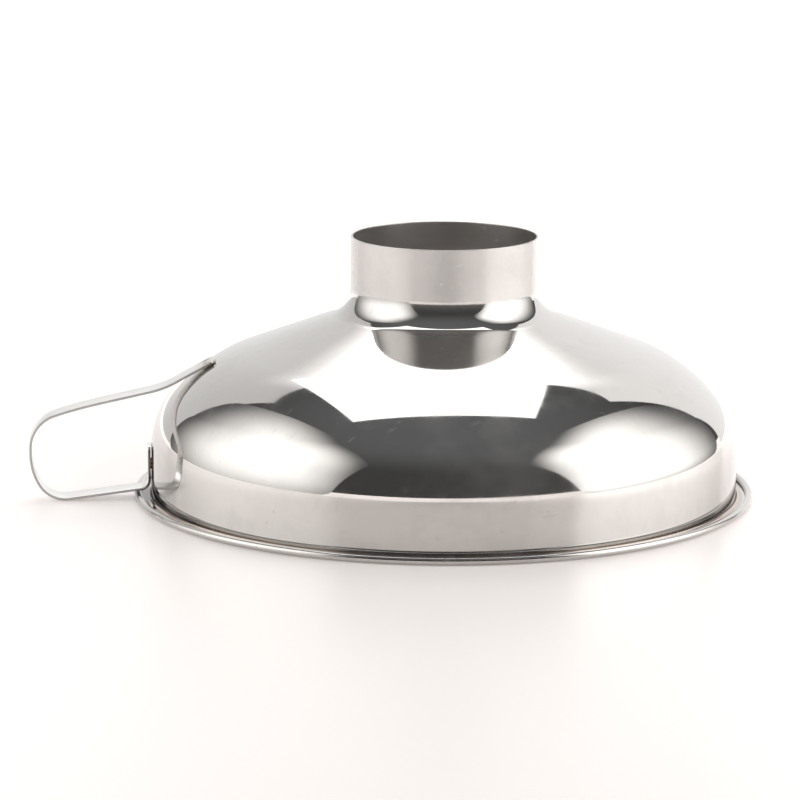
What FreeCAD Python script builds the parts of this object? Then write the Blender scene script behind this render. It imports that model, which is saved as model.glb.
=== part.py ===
import FreeCAD, Part

# Canning funnel: a bowl drawn from one stainless sheet, ending in a jar neck, with a flat
# strap bent into a finger loop and spot welded to the bowl's shoulder and skirt.
#
# The funnel stands on its mouth. +Z points up along the funnel's axis, towards the neck, and
# the origin is on that axis, in the plane that the rolled rim rests on. The handle points
# along -X, and its loop lies in the XZ plane.
#
# Both the bowl's wall and the strap are bent strips of even gauge, so both are drawn the same
# way: as a path of straight runs and bends, walked from one end to the other. A bend's radius
# is always the one inside the bend, and a bend to the left turns anticlockwise.

import math
import os

import Sketcher
from FreeCAD import Placement, Rotation, Vector

SHEET = "sizes"

# How closely two lengths agree, in millimetres, and how far the metal taken by a hole may be
# from what a drill takes, as a share of it.
CLOSE = 1e-6
HOLE_SLACK = 0.05

# Driving sizes in millimetres and degrees: alias, value, meaning.
DRIVING = (
    ("rim_dia", 155.0, "mouth diameter over the rolled rim"),
    ("bead_dia", 1.9, "thickness of the rolled rim"),
    ("bead_turn", 285.0, "how far the rim's edge is rolled round"),
    ("groove_gap", 2.35, "skirt to rolled rim"),
    ("heel_rad", 0.8, "corner between skirt and flange"),
    ("sheet_gauge", 0.5, "thickness of the bowl's sheet"),
    ("skirt_height", 12.2, "top of the upright skirt above the rest plane"),
    ("shoulder_rad", 19.8, "bend from skirt to crown"),
    ("shoulder_turn", 42.0, "turn of that bend"),
    ("crown_rad", 41.8, "bend from shoulder to cone"),
    ("cone_slope", 20.0, "fall of the cone from the horizontal"),
    ("neck_fillet", 7.8, "bend from cone to neck"),
    ("neck_dia", 46.6, "outer diameter of the neck"),
    ("neck_length", 12.5, "straight part of the neck"),
    ("strap_width", 7.0, "width of the handle's strap"),
    ("strap_gauge", 0.6, "thickness of the strap"),
    ("strap_edge", 0.15, "rounding of the strap's long edges"),
    ("foot_corner", 1.4, "rounding of the corners of both feet"),
    ("foot_gap", 0.2, "what the welds hold a foot off the bowl"),
    ("foot_lap", 1.3, "lower foot past the top of the skirt"),
    ("root_rad", 2.0, "bend from lower foot to lower leg"),
    ("lower_slope", 7.2, "rise of the lower leg towards the skirt"),
    ("low_corner_rad", 7.2, "bend at the loop's lower corner"),
    ("low_corner_turn", 68.0, "turn of that bend"),
    ("low_sweep_rad", 15.6, "easier bend that follows it"),
    ("grip_run", 1.25, "upright part of the loop's far end"),
    ("top_corner_rad", 8.4, "bend at the loop's upper corner"),
    ("top_corner_slope", 18.2, "slope where that bend ends"),
    ("top_bow_rad", 108.0, "slight bow of the upper leg"),
    ("upper_slope", 12.3, "rise of the upper leg towards the crown"),
    ("upper_root_rad", 23.3, "bend from upper leg to upper foot"),
    ("seat_slope", 28.5, "slope of the crown where the upper foot is tangent"),
    ("tip_setback", 0.4, "upper foot's end, short of that point"),
    ("loop_reach", 25.95, "far end of the loop, beyond the rim"),
    ("loop_lift", 0.1, "lowest point of the loop above the rest plane"),
    ("weld_dia", 2.0, "diameter of a spot weld"),
    ("weld_pitch", 3.6, "spacing of the two welds of a foot"),
    ("weld_setback", 2.3, "upper welds from the foot's end"),
    ("weld_dimple", 0.1, "dimple that the electrode leaves"),
)

# Sizes worked out from the ones above: alias, formula, meaning.
DERIVED = (
    ("skirt_rad", "rim_dia / 2 - bead_dia - groove_gap", "outside of the skirt"),
    ("neck_turn", "90 - cone_slope", "turn of the neck fillet"),
    ("crown_turn", "90 - cone_slope - shoulder_turn", "turn of the crown"),
    ("crown_fall", "cone_slope + crown_turn", "slope where crown meets shoulder"),
    ("crown_out", "crown_rad + sheet_gauge", "crown radius outside"),
    ("shoulder_out", "shoulder_rad + sheet_gauge", "shoulder radius outside"),
    ("bead_bore", "bead_dia / 2 - sheet_gauge", "radius inside the rolled rim"),
    ("cone_run",
     "(skirt_rad - neck_dia / 2 - neck_fillet * (1 - sin(cone_slope))"
     " - crown_out * (sin(crown_fall) - sin(cone_slope))"
     " - shoulder_out * (1 - sin(crown_fall))) / cos(cone_slope)",
     "straight flank of the cone"),
    ("skirt_run", "skirt_height - sheet_gauge - heel_rad", "straight part of the skirt"),
    ("flange_run", "groove_gap - heel_rad + bead_dia / 2", "flat that joins skirt and rim"),
    ("heel_turn", "90", "turn from skirt to flange, which is square"),
    ("crown_x", "skirt_rad - shoulder_out + (shoulder_out - crown_out) * sin(crown_fall)",
     "centre of the crown's bend, from the axis"),
    ("crown_z", "skirt_height + (shoulder_out - crown_out) * cos(crown_fall)",
     "centre of the crown's bend, above the rest plane"),
    ("neck_base", "crown_z + crown_out * cos(cone_slope) + cone_run * sin(cone_slope)"
     " + neck_fillet * cos(cone_slope)", "bottom of the straight neck"),
    ("overall_height", "neck_base + neck_length", "rest plane to the neck's lip"),
    ("foot_x", "skirt_rad + foot_gap", "inner face of the lower foot"),
    ("foot_top", "skirt_height + foot_lap", "upper end of the lower foot"),
    ("far_x", "rim_dia / 2 + loop_reach", "far end of the loop"),
    ("root_out", "root_rad + strap_gauge", "root bend outside"),
    ("corner_out", "low_corner_rad + strap_gauge", "lower corner outside"),
    ("sweep_out", "low_sweep_rad + strap_gauge", "lower sweep outside"),
    ("top_out", "top_corner_rad + strap_gauge", "upper corner outside"),
    ("bow_out", "top_bow_rad + strap_gauge", "upper bow outside"),
    ("corner_aim", "low_corner_turn - lower_slope", "heading left after the lower corner"),
    ("root_turn", "90 - lower_slope", "turn of the root bend"),
    ("sweep_turn", "90 + lower_slope - low_corner_turn", "turn of the lower sweep"),
    ("top_turn", "90 - top_corner_slope", "turn of the upper corner"),
    ("bow_turn", "top_corner_slope - upper_slope", "turn of the upper bow"),
    ("upper_root_turn", "seat_slope - upper_slope", "turn of the upper root bend"),
    ("lower_run",
     "(far_x - foot_x - root_out * (1 - sin(lower_slope)) - corner_out * sin(lower_slope)"
     " - (corner_out - sweep_out) * sin(corner_aim) - sweep_out) / cos(lower_slope)",
     "straight part of the lower leg"),
    ("root_z", "loop_lift + corner_out * (1 - cos(lower_slope))"
     " + lower_run * sin(lower_slope) + root_out * cos(lower_slope)",
     "height at which the lower foot starts to bend"),
    ("lower_foot_run", "foot_top - root_z", "straight part of the lower foot"),
    ("grip_z", "loop_lift + corner_out + (sweep_out - corner_out) * cos(corner_aim) + grip_run",
     "height of the upper corner's centre"),
    ("leg_x", "far_x - top_out + (top_out - bow_out) * sin(top_corner_slope)"
     " + bow_out * sin(upper_slope)", "outer end of the straight upper leg"),
    ("leg_z", "grip_z + (top_out - bow_out) * cos(top_corner_slope)"
     " + bow_out * cos(upper_slope)", "height of that end"),
    ("seat_x", "crown_x + crown_out * sin(seat_slope)", "tangent point of the upper foot"),
    ("seat_z", "crown_z + crown_out * cos(seat_slope)", "height of that point"),
    ("leg_drop", "(leg_z - seat_z) * cos(seat_slope) + (leg_x - seat_x) * sin(seat_slope)",
     "outer end of the upper leg, above the crown's tangent"),
    ("upper_run",
     "(leg_drop - foot_gap - strap_gauge - upper_root_rad * (1 - cos(upper_root_turn)))"
     " / sin(upper_root_turn)", "straight part of the upper leg"),
    ("leg_along", "(leg_x - seat_x) * cos(seat_slope) - (leg_z - seat_z) * sin(seat_slope)",
     "outer end of the upper leg, along the crown's tangent"),
    ("upper_foot_run",
     "leg_along - upper_run * cos(upper_root_turn) - upper_root_rad * sin(upper_root_turn)"
     " - tip_setback", "straight part of the upper foot"),
    ("lower_weld_z", "(root_z + skirt_height) / 2", "height of the lower welds"),
    ("weld_along", "tip_setback + weld_setback", "upper welds from the tangent point"),
    ("weld_length", "strap_gauge - weld_dimple + foot_gap + sheet_gauge / 2",
     "weld before it is fitted to the bowl"),
)


class Sizes:
    """The sheet of sizes: read as attributes, bound as expressions."""

    def __init__(self, doc):
        self.sheet = doc.addObject("Spreadsheet::Sheet", SHEET)
        row = 1
        for alias, value, meaning in DRIVING:
            self._write(row, alias, str(value), meaning)
            row += 1
        for alias, formula, meaning in DERIVED:
            self._write(row, alias, "=" + formula, meaning)
            row += 1
        doc.recompute()

    def _write(self, row, alias, content, meaning):
        self.sheet.set(f"A{row}", alias)
        self.sheet.set(f"B{row}", content)
        self.sheet.setAlias(f"B{row}", alias)
        self.sheet.set(f"C{row}", meaning)

    def __getattr__(self, alias):
        return float(self.sheet.get(alias))

    @staticmethod
    def bound(alias):
        return f"<<{SHEET}>>.{alias}"


def straight(length):
    """A straight run: the alias of its length."""
    return {"length": length}


def left(radius, turn):
    """A bend to the left: the aliases of its inside radius and its turn."""
    return {"radius": radius, "turn": turn, "side": 1}


def right(radius, turn):
    """A bend to the right: the aliases of its inside radius and its turn."""
    return {"radius": radius, "turn": turn, "side": -1}


class StripSketch:
    """The closed outline of a bent strip, drawn and dimensioned in one sketch.

    The left side of the strip is walked, and the right side runs beside it.
    """

    def __init__(self, sketch, sizes, gauge):
        self.sketch = sketch
        self.sizes = sizes
        self.gauge = gauge
        self.count = 0

    def constrain(self, *items):
        return self.sketch.addConstraint(Sketcher.Constraint(*items))

    def dimension(self, expression, *items):
        """Add a dimension and bind it to the sheet."""
        index = self.constrain(*items)
        self.count += 1
        name = f"size_{self.count}"
        self.sketch.renameConstraint(index, name)
        self.sketch.setExpression(f"Constraints.{name}", expression)

    def add_line(self, start, end):
        index = self.sketch.addGeometry(Part.LineSegment(start, end), False)
        return {"index": index, "first": 1, "last": 2, "bend": False}

    def add_arc(self, centre, radius, heading, turn, side, offside):
        """Add one side of a bend; side is 1 for a left bend and -1 for a right one."""
        opening = heading - side * math.pi / 2
        closing = opening + side * turn
        circle = Part.Circle(centre, Vector(0, 0, 1), radius)
        arc = Part.ArcOfCircle(circle, min(opening, closing), max(opening, closing))
        index = self.sketch.addGeometry(arc, False)
        first, last = (1, 2) if side > 0 else (2, 1)
        return {"index": index, "first": first, "last": last, "bend": True, "offside": offside}

    def draw(self, start, heading, runs):
        """Walk the runs from start, an x and y pair, and close the strip at both ends.

        Returns the walked side's edges, in order.
        """
        gauge = getattr(self.sizes, self.gauge)
        place = Vector(start[0], start[1], 0)
        near, far = [], []
        for run in runs:
            ahead = Vector(math.cos(heading), math.sin(heading), 0)
            leftward = Vector(-ahead.y, ahead.x, 0)
            if "length" in run:
                step = ahead * getattr(self.sizes, run["length"])
                near.append(self.add_line(place, place + step))
                far.append(self.add_line(place - leftward * gauge, place + step - leftward * gauge))
                place = place + step
                continue
            side = run["side"]
            inside = getattr(self.sizes, run["radius"])
            turn = math.radians(getattr(self.sizes, run["turn"]))
            walked, beside = (inside, inside + gauge) if side > 0 else (inside + gauge, inside)
            centre = place + leftward * side * walked
            near.append(self.add_arc(centre, walked, heading, turn, side, side < 0))
            far.append(self.add_arc(centre, beside, heading, turn, side, side > 0))
            heading += side * turn
            outward = Vector(math.sin(heading), -math.cos(heading), 0) * side
            place = centre + outward * walked
        self.join(near, runs, walked=True)
        self.join(far, runs, walked=False)
        self.cap(near[0], far[0], "first")
        self.cap(near[-1], far[-1], "last")
        for left_side, right_side in zip(near, far):
            if left_side["bend"]:
                self.constrain("Coincident", left_side["index"], 3, right_side["index"], 3)
        return near

    def join(self, edges, runs, walked):
        """Make one side smooth and give it its sizes."""
        for one, two in zip(edges, edges[1:]):
            self.constrain("Tangent", one["index"], one["last"], two["index"], two["first"])
        previous_bend = False
        for edge, run in zip(edges, runs):
            if edge["bend"]:
                if walked or not previous_bend:
                    self.size_radius(edge, run)
                if walked:
                    turn = math.radians(getattr(self.sizes, run["turn"]))
                    bound = Sizes.bound(run["turn"]) + " * 1 deg"
                    self.dimension(bound, "Angle", edge["index"], turn)
            elif walked:
                length = getattr(self.sizes, run["length"])
                self.dimension(Sizes.bound(run["length"]), "Distance", edge["index"], length)
            previous_bend = edge["bend"]

    def size_radius(self, edge, run):
        radius = getattr(self.sizes, run["radius"])
        bound = Sizes.bound(run["radius"])
        if edge["offside"]:
            radius += getattr(self.sizes, self.gauge)
            bound += " + " + Sizes.bound(self.gauge)
        self.dimension(bound, "Radius", edge["index"], radius)

    def cap(self, near, far, end):
        """Close one end of the strip, square to its run."""
        start = self.sketch.getPoint(near["index"], near[end])
        finish = self.sketch.getPoint(far["index"], far[end])
        line = self.sketch.addGeometry(Part.LineSegment(start, finish), False)
        self.constrain("Coincident", line, 1, near["index"], near[end])
        self.constrain("Coincident", line, 2, far["index"], far[end])
        if near["bend"]:
            self.constrain("PointOnObject", near["index"], 3, line)
        else:
            self.constrain("Perpendicular", line, near["index"])
            self.constrain("Parallel", near["index"], far["index"])


def origin_plane(body, role):
    """One of the body's own origin planes."""
    return next(item for item in body.Origin.OriginFeatures if item.Role == role)


def new_sketch(body, name, role):
    """An empty sketch on one of the body's origin planes."""
    sketch = body.newObject("Sketcher::SketchObject", name)
    sketch.AttachmentSupport = [(origin_plane(body, role), "")]
    sketch.MapMode = "FlatFace"
    return sketch


def make_funnel_body(doc, sizes):
    """The bowl, neck and rolled rim: one sheet, so one revolved strip."""
    body = doc.addObject("PartDesign::Body", "funnel_body")
    body.Label = "funnel_body"
    sketch = new_sketch(body, "wall_section", "XZ_Plane")
    strip = StripSketch(sketch, sizes, "sheet_gauge")
    runs = (
        straight("neck_length"),
        left("neck_fillet", "neck_turn"),
        straight("cone_run"),
        right("crown_rad", "crown_turn"),
        right("shoulder_rad", "shoulder_turn"),
        straight("skirt_run"),
        left("heel_rad", "heel_turn"),
        straight("flange_run"),
        left("bead_bore", "bead_turn"),
    )
    lip = (sizes.neck_dia / 2, sizes.overall_height)
    neck = strip.draw(lip, math.radians(-90), runs)[0]["index"]
    strip.constrain("Vertical", neck)
    strip.dimension(Sizes.bound("neck_dia") + " / 2", "DistanceX", -1, 1, neck, 1, lip[0])
    strip.dimension(Sizes.bound("overall_height"), "DistanceY", -1, 1, neck, 1, lip[1])
    wall = body.newObject("PartDesign::Revolution", "wall")
    wall.Profile = sketch
    wall.ReferenceAxis = (sketch, ["V_Axis"])
    wall.Angle = 360
    body.Placement = Placement()
    doc.recompute()
    return body


def edges_where(shape, test):
    """Names of the shape's edges that pass a test."""
    return [f"Edge{number}" for number, edge in enumerate(shape.Edges, 1) if test(edge)]


def make_handle_strap(doc, sizes):
    """The handle: one flat strap from the skirt, round the finger loop, to the crown."""
    body = doc.addObject("PartDesign::Body", "handle_strap")
    body.Label = "handle_strap"
    sketch = new_sketch(body, "strap_path", "XZ_Plane")
    strip = StripSketch(sketch, sizes, "strap_gauge")
    runs = (
        straight("lower_foot_run"),
        right("root_rad", "root_turn"),
        straight("lower_run"),
        right("low_corner_rad", "low_corner_turn"),
        right("low_sweep_rad", "sweep_turn"),
        straight("grip_run"),
        right("top_corner_rad", "top_turn"),
        right("top_bow_rad", "bow_turn"),
        straight("upper_run"),
        left("upper_root_rad", "upper_root_turn"),
        straight("upper_foot_run"),
    )
    top = (-sizes.foot_x, sizes.foot_top)
    foot = strip.draw(top, math.radians(-90), runs)[0]["index"]
    strip.constrain("Vertical", foot)
    strip.dimension(Sizes.bound("foot_x"), "DistanceX", foot, 1, -1, 1, sizes.foot_x)
    strip.dimension(Sizes.bound("foot_top"), "DistanceY", -1, 1, foot, 1, top[1])
    pad = body.newObject("PartDesign::Pad", "strap_bar")
    pad.Profile = sketch
    pad.SideType = "Symmetric"
    pad.setExpression("Length", Sizes.bound("strap_width"))
    doc.recompute()
    round_feet(body, pad, sizes)
    doc.recompute()
    pierce_feet(body, sizes)
    body.Placement = Placement()
    doc.recompute()
    return body


def round_feet(body, pad, sizes):
    """Round the corners of both feet, then the strap's long edges."""
    gauge = sizes.strap_gauge
    half = sizes.strap_width / 2

    def is_corner(edge):
        return abs(edge.Length - gauge) < CLOSE and edge.BoundBox.YLength < CLOSE

    def is_long(edge):
        flat = edge.BoundBox.YLength < CLOSE and abs(abs(edge.BoundBox.Center.y) - half) < CLOSE
        return flat and edge.Length > gauge + CLOSE

    corners = body.newObject("PartDesign::Fillet", "foot_corners")
    corners.Base = (pad, edges_where(pad.Shape, is_corner))
    corners.setExpression("Radius", Sizes.bound("foot_corner"))
    body.Document.recompute()
    rounds = body.newObject("PartDesign::Fillet", "edge_rounds")
    rounds.Base = (corners, edges_where(corners.Shape, is_long))
    rounds.setExpression("Radius", Sizes.bound("strap_edge"))
    body.Document.recompute()


def upper_foot_frame(sizes, along, lift):
    """A placement on the upper foot: its Z axis points out of the crown.

    Args: along, how far down the foot from the tangent point; lift, how far off the crown.
    """
    slope = math.radians(sizes.seat_slope)
    down = Vector(-math.cos(slope), 0, -math.sin(slope))
    out = Vector(-math.sin(slope), 0, math.cos(slope))
    seat = Vector(-sizes.seat_x, 0, sizes.seat_z)
    return Placement(seat + down * along + out * lift, Rotation(Vector(0, 1, 0), -sizes.seat_slope))


def lower_foot_frame(sizes, lift):
    """A placement on the lower foot: its Z axis points out of the skirt."""
    spot = Vector(-sizes.skirt_rad - lift, 0, sizes.lower_weld_z)
    return Placement(spot, Rotation(Vector(0, 1, 0), -90))


def pierce_feet(body, sizes):
    """Open the strap where the welds pass through it."""
    frames = {
        "upper_weld_holes": upper_foot_frame(sizes, sizes.weld_along, sizes.foot_gap),
        "lower_weld_holes": lower_foot_frame(sizes, sizes.foot_gap),
    }
    for name, frame in frames.items():
        sketch = new_sketch(body, name + "_sketch", "XY_Plane")
        sketch.AttachmentOffset = frame
        for number, side in enumerate((-1, 1), 1):
            centre = Vector(0, side * sizes.weld_pitch / 2, 0)
            circle = Part.Circle(centre, Vector(0, 0, 1), sizes.weld_dia / 2)
            index = sketch.addGeometry(circle, False)
            sketch.addConstraint(Sketcher.Constraint("PointOnObject", index, 3, -2))
            size = sketch.addConstraint(Sketcher.Constraint("Diameter", index, sizes.weld_dia))
            sketch.renameConstraint(size, f"weld_{number}")
            sketch.setExpression(f"Constraints.weld_{number}", Sizes.bound("weld_dia"))
            ends = (-1, 1, index, 3) if side > 0 else (index, 3, -1, 1)
            offset = Sketcher.Constraint("DistanceY", *ends, sizes.weld_pitch / 2)
            spacing = sketch.addConstraint(offset)
            sketch.renameConstraint(spacing, f"offset_{number}")
            half_pitch = Sizes.bound("weld_pitch") + " / 2"
            sketch.setExpression(f"Constraints.offset_{number}", half_pitch)
        pocket = body.newObject("PartDesign::Pocket", name)
        pocket.Profile = sketch
        pocket.Reversed = True
        pocket.setExpression("Length", Sizes.bound("strap_gauge"))
        before = pocket.BaseFeature.Shape.Volume
        body.Document.recompute()
        drilled = math.pi * sizes.weld_dia ** 2 / 4 * sizes.strap_gauge * 2
        taken = before - body.Shape.Volume
        if abs(taken - drilled) > HOLE_SLACK * drilled:
            raise RuntimeError(f"{name} took {taken:.3f} cubic mm, not {drilled:.3f}")


def make_welds(doc, sizes, name, frame, funnel):
    """The two spot welds of one foot, each filling its hole and fitted to the bowl."""
    spots = []
    for number, side in enumerate((-1, 1), 1):
        slug = doc.addObject("Part::Cylinder", f"{name}_slug_{number}")
        slug.setExpression("Radius", Sizes.bound("weld_dia") + " / 2")
        slug.setExpression("Height", Sizes.bound("weld_length"))
        across = Placement(Vector(0, side * sizes.weld_pitch / 2, 0), Rotation())
        slug.Placement = frame.multiply(across)
        spot = doc.addObject("Part::Cut", f"{name}_{number}")
        spot.Base = slug
        spot.Tool = funnel
        spots.append(spot)
    group = doc.addObject("Part::Compound", name)
    group.Label = name
    group.Links = spots
    group.Placement = Placement()
    doc.recompute()
    return group


def check_document(doc, parts):
    """Stop if any object failed or any sub-part is empty or not valid."""
    for item in doc.Objects:
        if "Invalid" in item.State or "Error" in item.State:
            raise RuntimeError(f"{item.Name} failed: {item.State}")
    for part in parts:
        if part.Shape.isNull() or not part.Shape.isValid() or not part.Shape.Solids:
            raise RuntimeError(f"{part.Label} has no valid solid")


def main():
    os.makedirs("parts", exist_ok=True)
    doc = FreeCAD.newDocument("canning_funnel")
    sizes = Sizes(doc)
    funnel = make_funnel_body(doc, sizes)
    strap = make_handle_strap(doc, sizes)
    bite = -sizes.sheet_gauge / 2
    upper_frame = upper_foot_frame(sizes, sizes.weld_along, bite)
    lower_frame = lower_foot_frame(sizes, bite)
    parts = [
        funnel,
        strap,
        make_welds(doc, sizes, "upper_foot_welds", upper_frame, funnel),
        make_welds(doc, sizes, "lower_foot_welds", lower_frame, funnel),
    ]
    check_document(doc, parts)
    for part in parts:
        part.Shape.exportStep(os.path.join("parts", part.Label + ".step"))
        box = part.Shape.BoundBox
        print(f"{part.Label}: {len(part.Shape.Solids)} solid(s), {part.Shape.Volume:.2f} cubic mm,"
              f" x {box.XMin:.2f} to {box.XMax:.2f}, z {box.ZMin:.2f} to {box.ZMax:.2f}")


main()
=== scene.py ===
"""The looks of a canning funnel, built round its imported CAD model.

A bowl drawn from one mirror-polished sheet ends in a jar neck and a rolled rim. A flat strap,
bent into a finger loop, is spot welded to the bowl's crown and skirt.

Everything is in metres and in the model's own frame: Z is the funnel's axis, the rim rests on
the plane z = 0, and the handle lies in the XZ plane, towards -X. Angles are in degrees.
"""

import logging
import math
from collections.abc import Callable
from dataclasses import dataclass, field
from enum import Enum

import bmesh
import bpy
from mathutils import Matrix, Vector


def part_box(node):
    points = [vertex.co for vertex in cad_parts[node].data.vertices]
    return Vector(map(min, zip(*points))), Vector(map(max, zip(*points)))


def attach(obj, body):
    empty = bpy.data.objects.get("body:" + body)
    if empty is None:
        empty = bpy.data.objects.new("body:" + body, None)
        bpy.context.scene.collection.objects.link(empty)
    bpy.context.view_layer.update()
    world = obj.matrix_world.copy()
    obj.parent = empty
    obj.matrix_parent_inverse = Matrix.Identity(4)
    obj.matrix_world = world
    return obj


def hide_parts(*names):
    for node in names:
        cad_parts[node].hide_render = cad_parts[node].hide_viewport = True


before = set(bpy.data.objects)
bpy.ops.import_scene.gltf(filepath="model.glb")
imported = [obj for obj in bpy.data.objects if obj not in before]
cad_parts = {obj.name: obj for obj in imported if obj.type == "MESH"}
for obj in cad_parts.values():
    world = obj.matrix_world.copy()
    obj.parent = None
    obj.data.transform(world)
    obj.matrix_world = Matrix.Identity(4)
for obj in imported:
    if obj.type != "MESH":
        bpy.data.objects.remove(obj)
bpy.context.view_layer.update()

MM = 0.001
BODY = "root"
SAME_PLACE = 0.01 * MM

# The camera and the whole studio are turned by this much, from +Y towards +X.
STUDIO_TURN = 4.9

BLACK = (0.0, 0.0, 0.0)

Colour = tuple[float, float, float]
Point = tuple[float, float, float]
Pair = tuple[float, float]
Span = tuple[float, float]

log = logging.getLogger("funnel")


class Slot(Enum):
    """Names for three material slots."""

    SHEET = "polished_sheet"
    STRAP = "strap_steel"
    WELD = "weld_metal"


class Side(Enum):
    """Which way a path bends, seen with +X to the right and +Z up."""

    LEFT = 1
    RIGHT = -1


# ---------------------------------------------------------------- work on a mesh


@dataclass(frozen=True)
class Run:
    """A straight stretch of a path, cut into equal parts."""

    length: float
    cuts: int = 1


@dataclass(frozen=True)
class Bend:
    """A round stretch of a path."""

    radius: float
    turn: float
    side: Side
    steps: int


class Bench:
    """One mesh, worked in edit mode as by hand."""

    def __init__(self, name: str, add: Callable, **settings) -> None:
        """Put a primitive on the bench.

        Args:
            name: the piece's name.
            add: the operator that adds the primitive.
            settings: the operator's own settings.
        """
        bpy.ops.object.select_all(action="DESELECT")
        add(**settings)
        self.piece = bpy.context.active_object
        self.piece.name = name
        self.piece.data.name = name
        self.settle()
        bpy.ops.object.mode_set(mode="EDIT")
        bpy.ops.mesh.select_mode(type="VERT")
        bpy.ops.mesh.select_all(action="SELECT")

    @classmethod
    def from_point(cls, name: str, place: Vector) -> "Bench":
        """Start a piece from one vertex, which is a small plane merged at its centre.

        Args:
            name: the piece's name.
            place: where the vertex goes.

        Returns:
            The bench, with the vertex selected.
        """
        bench = cls(name, bpy.ops.mesh.primitive_plane_add, size=MM, location=place)
        bpy.ops.mesh.merge(type="CENTER")
        return bench

    def settle(self) -> None:
        """Put the piece's place, turn and scale into its mesh."""
        bpy.ops.object.transform_apply(location=True, rotation=True, scale=True)

    def pick_edges(self, test: Callable[[bmesh.types.BMEdge], bool]) -> None:
        """Select only the edges that pass a test.

        Args:
            test: takes one edge and says whether to select it.
        """
        bpy.ops.mesh.select_mode(type="EDGE")
        bpy.ops.mesh.select_all(action="DESELECT")
        mesh = bmesh.from_edit_mesh(self.piece.data)
        for edge in mesh.edges:
            edge.select_set(test(edge))
        mesh.select_flush_mode()
        bmesh.update_edit_mesh(self.piece.data)

    def move(self, step: Vector) -> None:
        """Move the selection."""
        bpy.ops.transform.translate(value=step)

    def extrude(self, step: Vector) -> None:
        """Extrude the selection by one step."""
        bpy.ops.mesh.extrude_region_move(TRANSFORM_OT_translate={"value": step})

    def walk(self, place: Vector, heading: float, path: list[Run | Bend]) -> Vector:
        """Draw the selection out along a path in the XZ plane.

        Args:
            place: where the path starts.
            heading: its first direction, from +X towards +Z.
            path: the runs and bends, in order.

        Returns:
            Where the path ends.
        """
        for part in path:
            ahead = Vector((math.cos(math.radians(heading)), 0, math.sin(math.radians(heading))))
            if isinstance(part, Run):
                step = ahead * part.length
                for _ in range(part.cuts):
                    self.extrude(step / part.cuts)
                place = place + step
                continue
            turn = part.turn * part.side.value
            centre = place + Vector((-ahead.z, 0, ahead.x)) * part.radius * part.side.value
            bpy.ops.mesh.spin(steps=part.steps, angle=math.radians(turn), center=centre, axis=(0, 1, 0))
            place = centre + Matrix.Rotation(-math.radians(turn), 3, "Y") @ (place - centre)
            heading += turn
        return place

    def close(self) -> None:
        """Merge doubles and turn the faces outwards."""
        bpy.ops.mesh.select_all(action="SELECT")
        bpy.ops.mesh.remove_doubles(threshold=0.0005 * MM)
        bpy.ops.mesh.normals_make_consistent(inside=False)

    def done(self) -> None:
        """Leave edit mode."""
        bpy.ops.object.mode_set(mode="OBJECT")

    def modify(self, kind: str, **settings) -> None:
        """Add a modifier, set it and apply it.

        Args:
            kind: the modifier's type.
            settings: the modifier's own settings.
        """
        modifier = self.piece.modifiers.new(kind.title(), kind)
        for name, value in settings.items():
            setattr(modifier, name, value)
        bpy.ops.object.modifier_apply(modifier=modifier.name)

    def round_edges(self, width: float, segments: int, sharper_than: float) -> None:
        """Round off the edges that are sharper than an angle.

        Args:
            width: how far the rounding reaches from the edge.
            segments: how many faces go round it.
            sharper_than: the angle between two faces, in degrees.
        """
        self.modify("BEVEL", width=width, segments=segments, limit_method="ANGLE",
                    angle_limit=math.radians(sharper_than))

    def smooth(self, angle: float) -> bpy.types.Object:
        """Shade smooth, but for edges sharper than an angle.

        Args:
            angle: the angle between two faces, in degrees.

        Returns:
            The finished piece.
        """
        bpy.ops.object.shade_smooth_by_angle(angle=math.radians(angle))
        return self.piece


def copy_to(original: bpy.types.Object, name: str, place: Vector, tilt: float) -> bpy.types.Object:
    """Copy a piece that was made at the origin, with a mesh of its own.

    Args:
        original: the piece to copy.
        name: the copy's name.
        place: where the copy's origin goes.
        tilt: the copy's turn about Y, from +Z towards +X.

    Returns:
        The copy.
    """
    bpy.ops.object.select_all(action="DESELECT")
    original.select_set(True)
    bpy.context.view_layer.objects.active = original
    bpy.ops.object.duplicate()
    piece = bpy.context.active_object
    piece.name = name
    piece.data.name = name
    piece.location = place
    piece.rotation_euler = (0, math.radians(tilt), 0)
    bpy.ops.object.transform_apply(location=True, rotation=True, scale=True)
    return piece


# ---------------------------------------------------------------- shader nodes


@dataclass(frozen=True)
class Grain:
    """What a noise is like: the size of its features, its finer steps and how strong they are."""

    size: float
    detail: float = 2.0
    rough: float = 0.5


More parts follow.
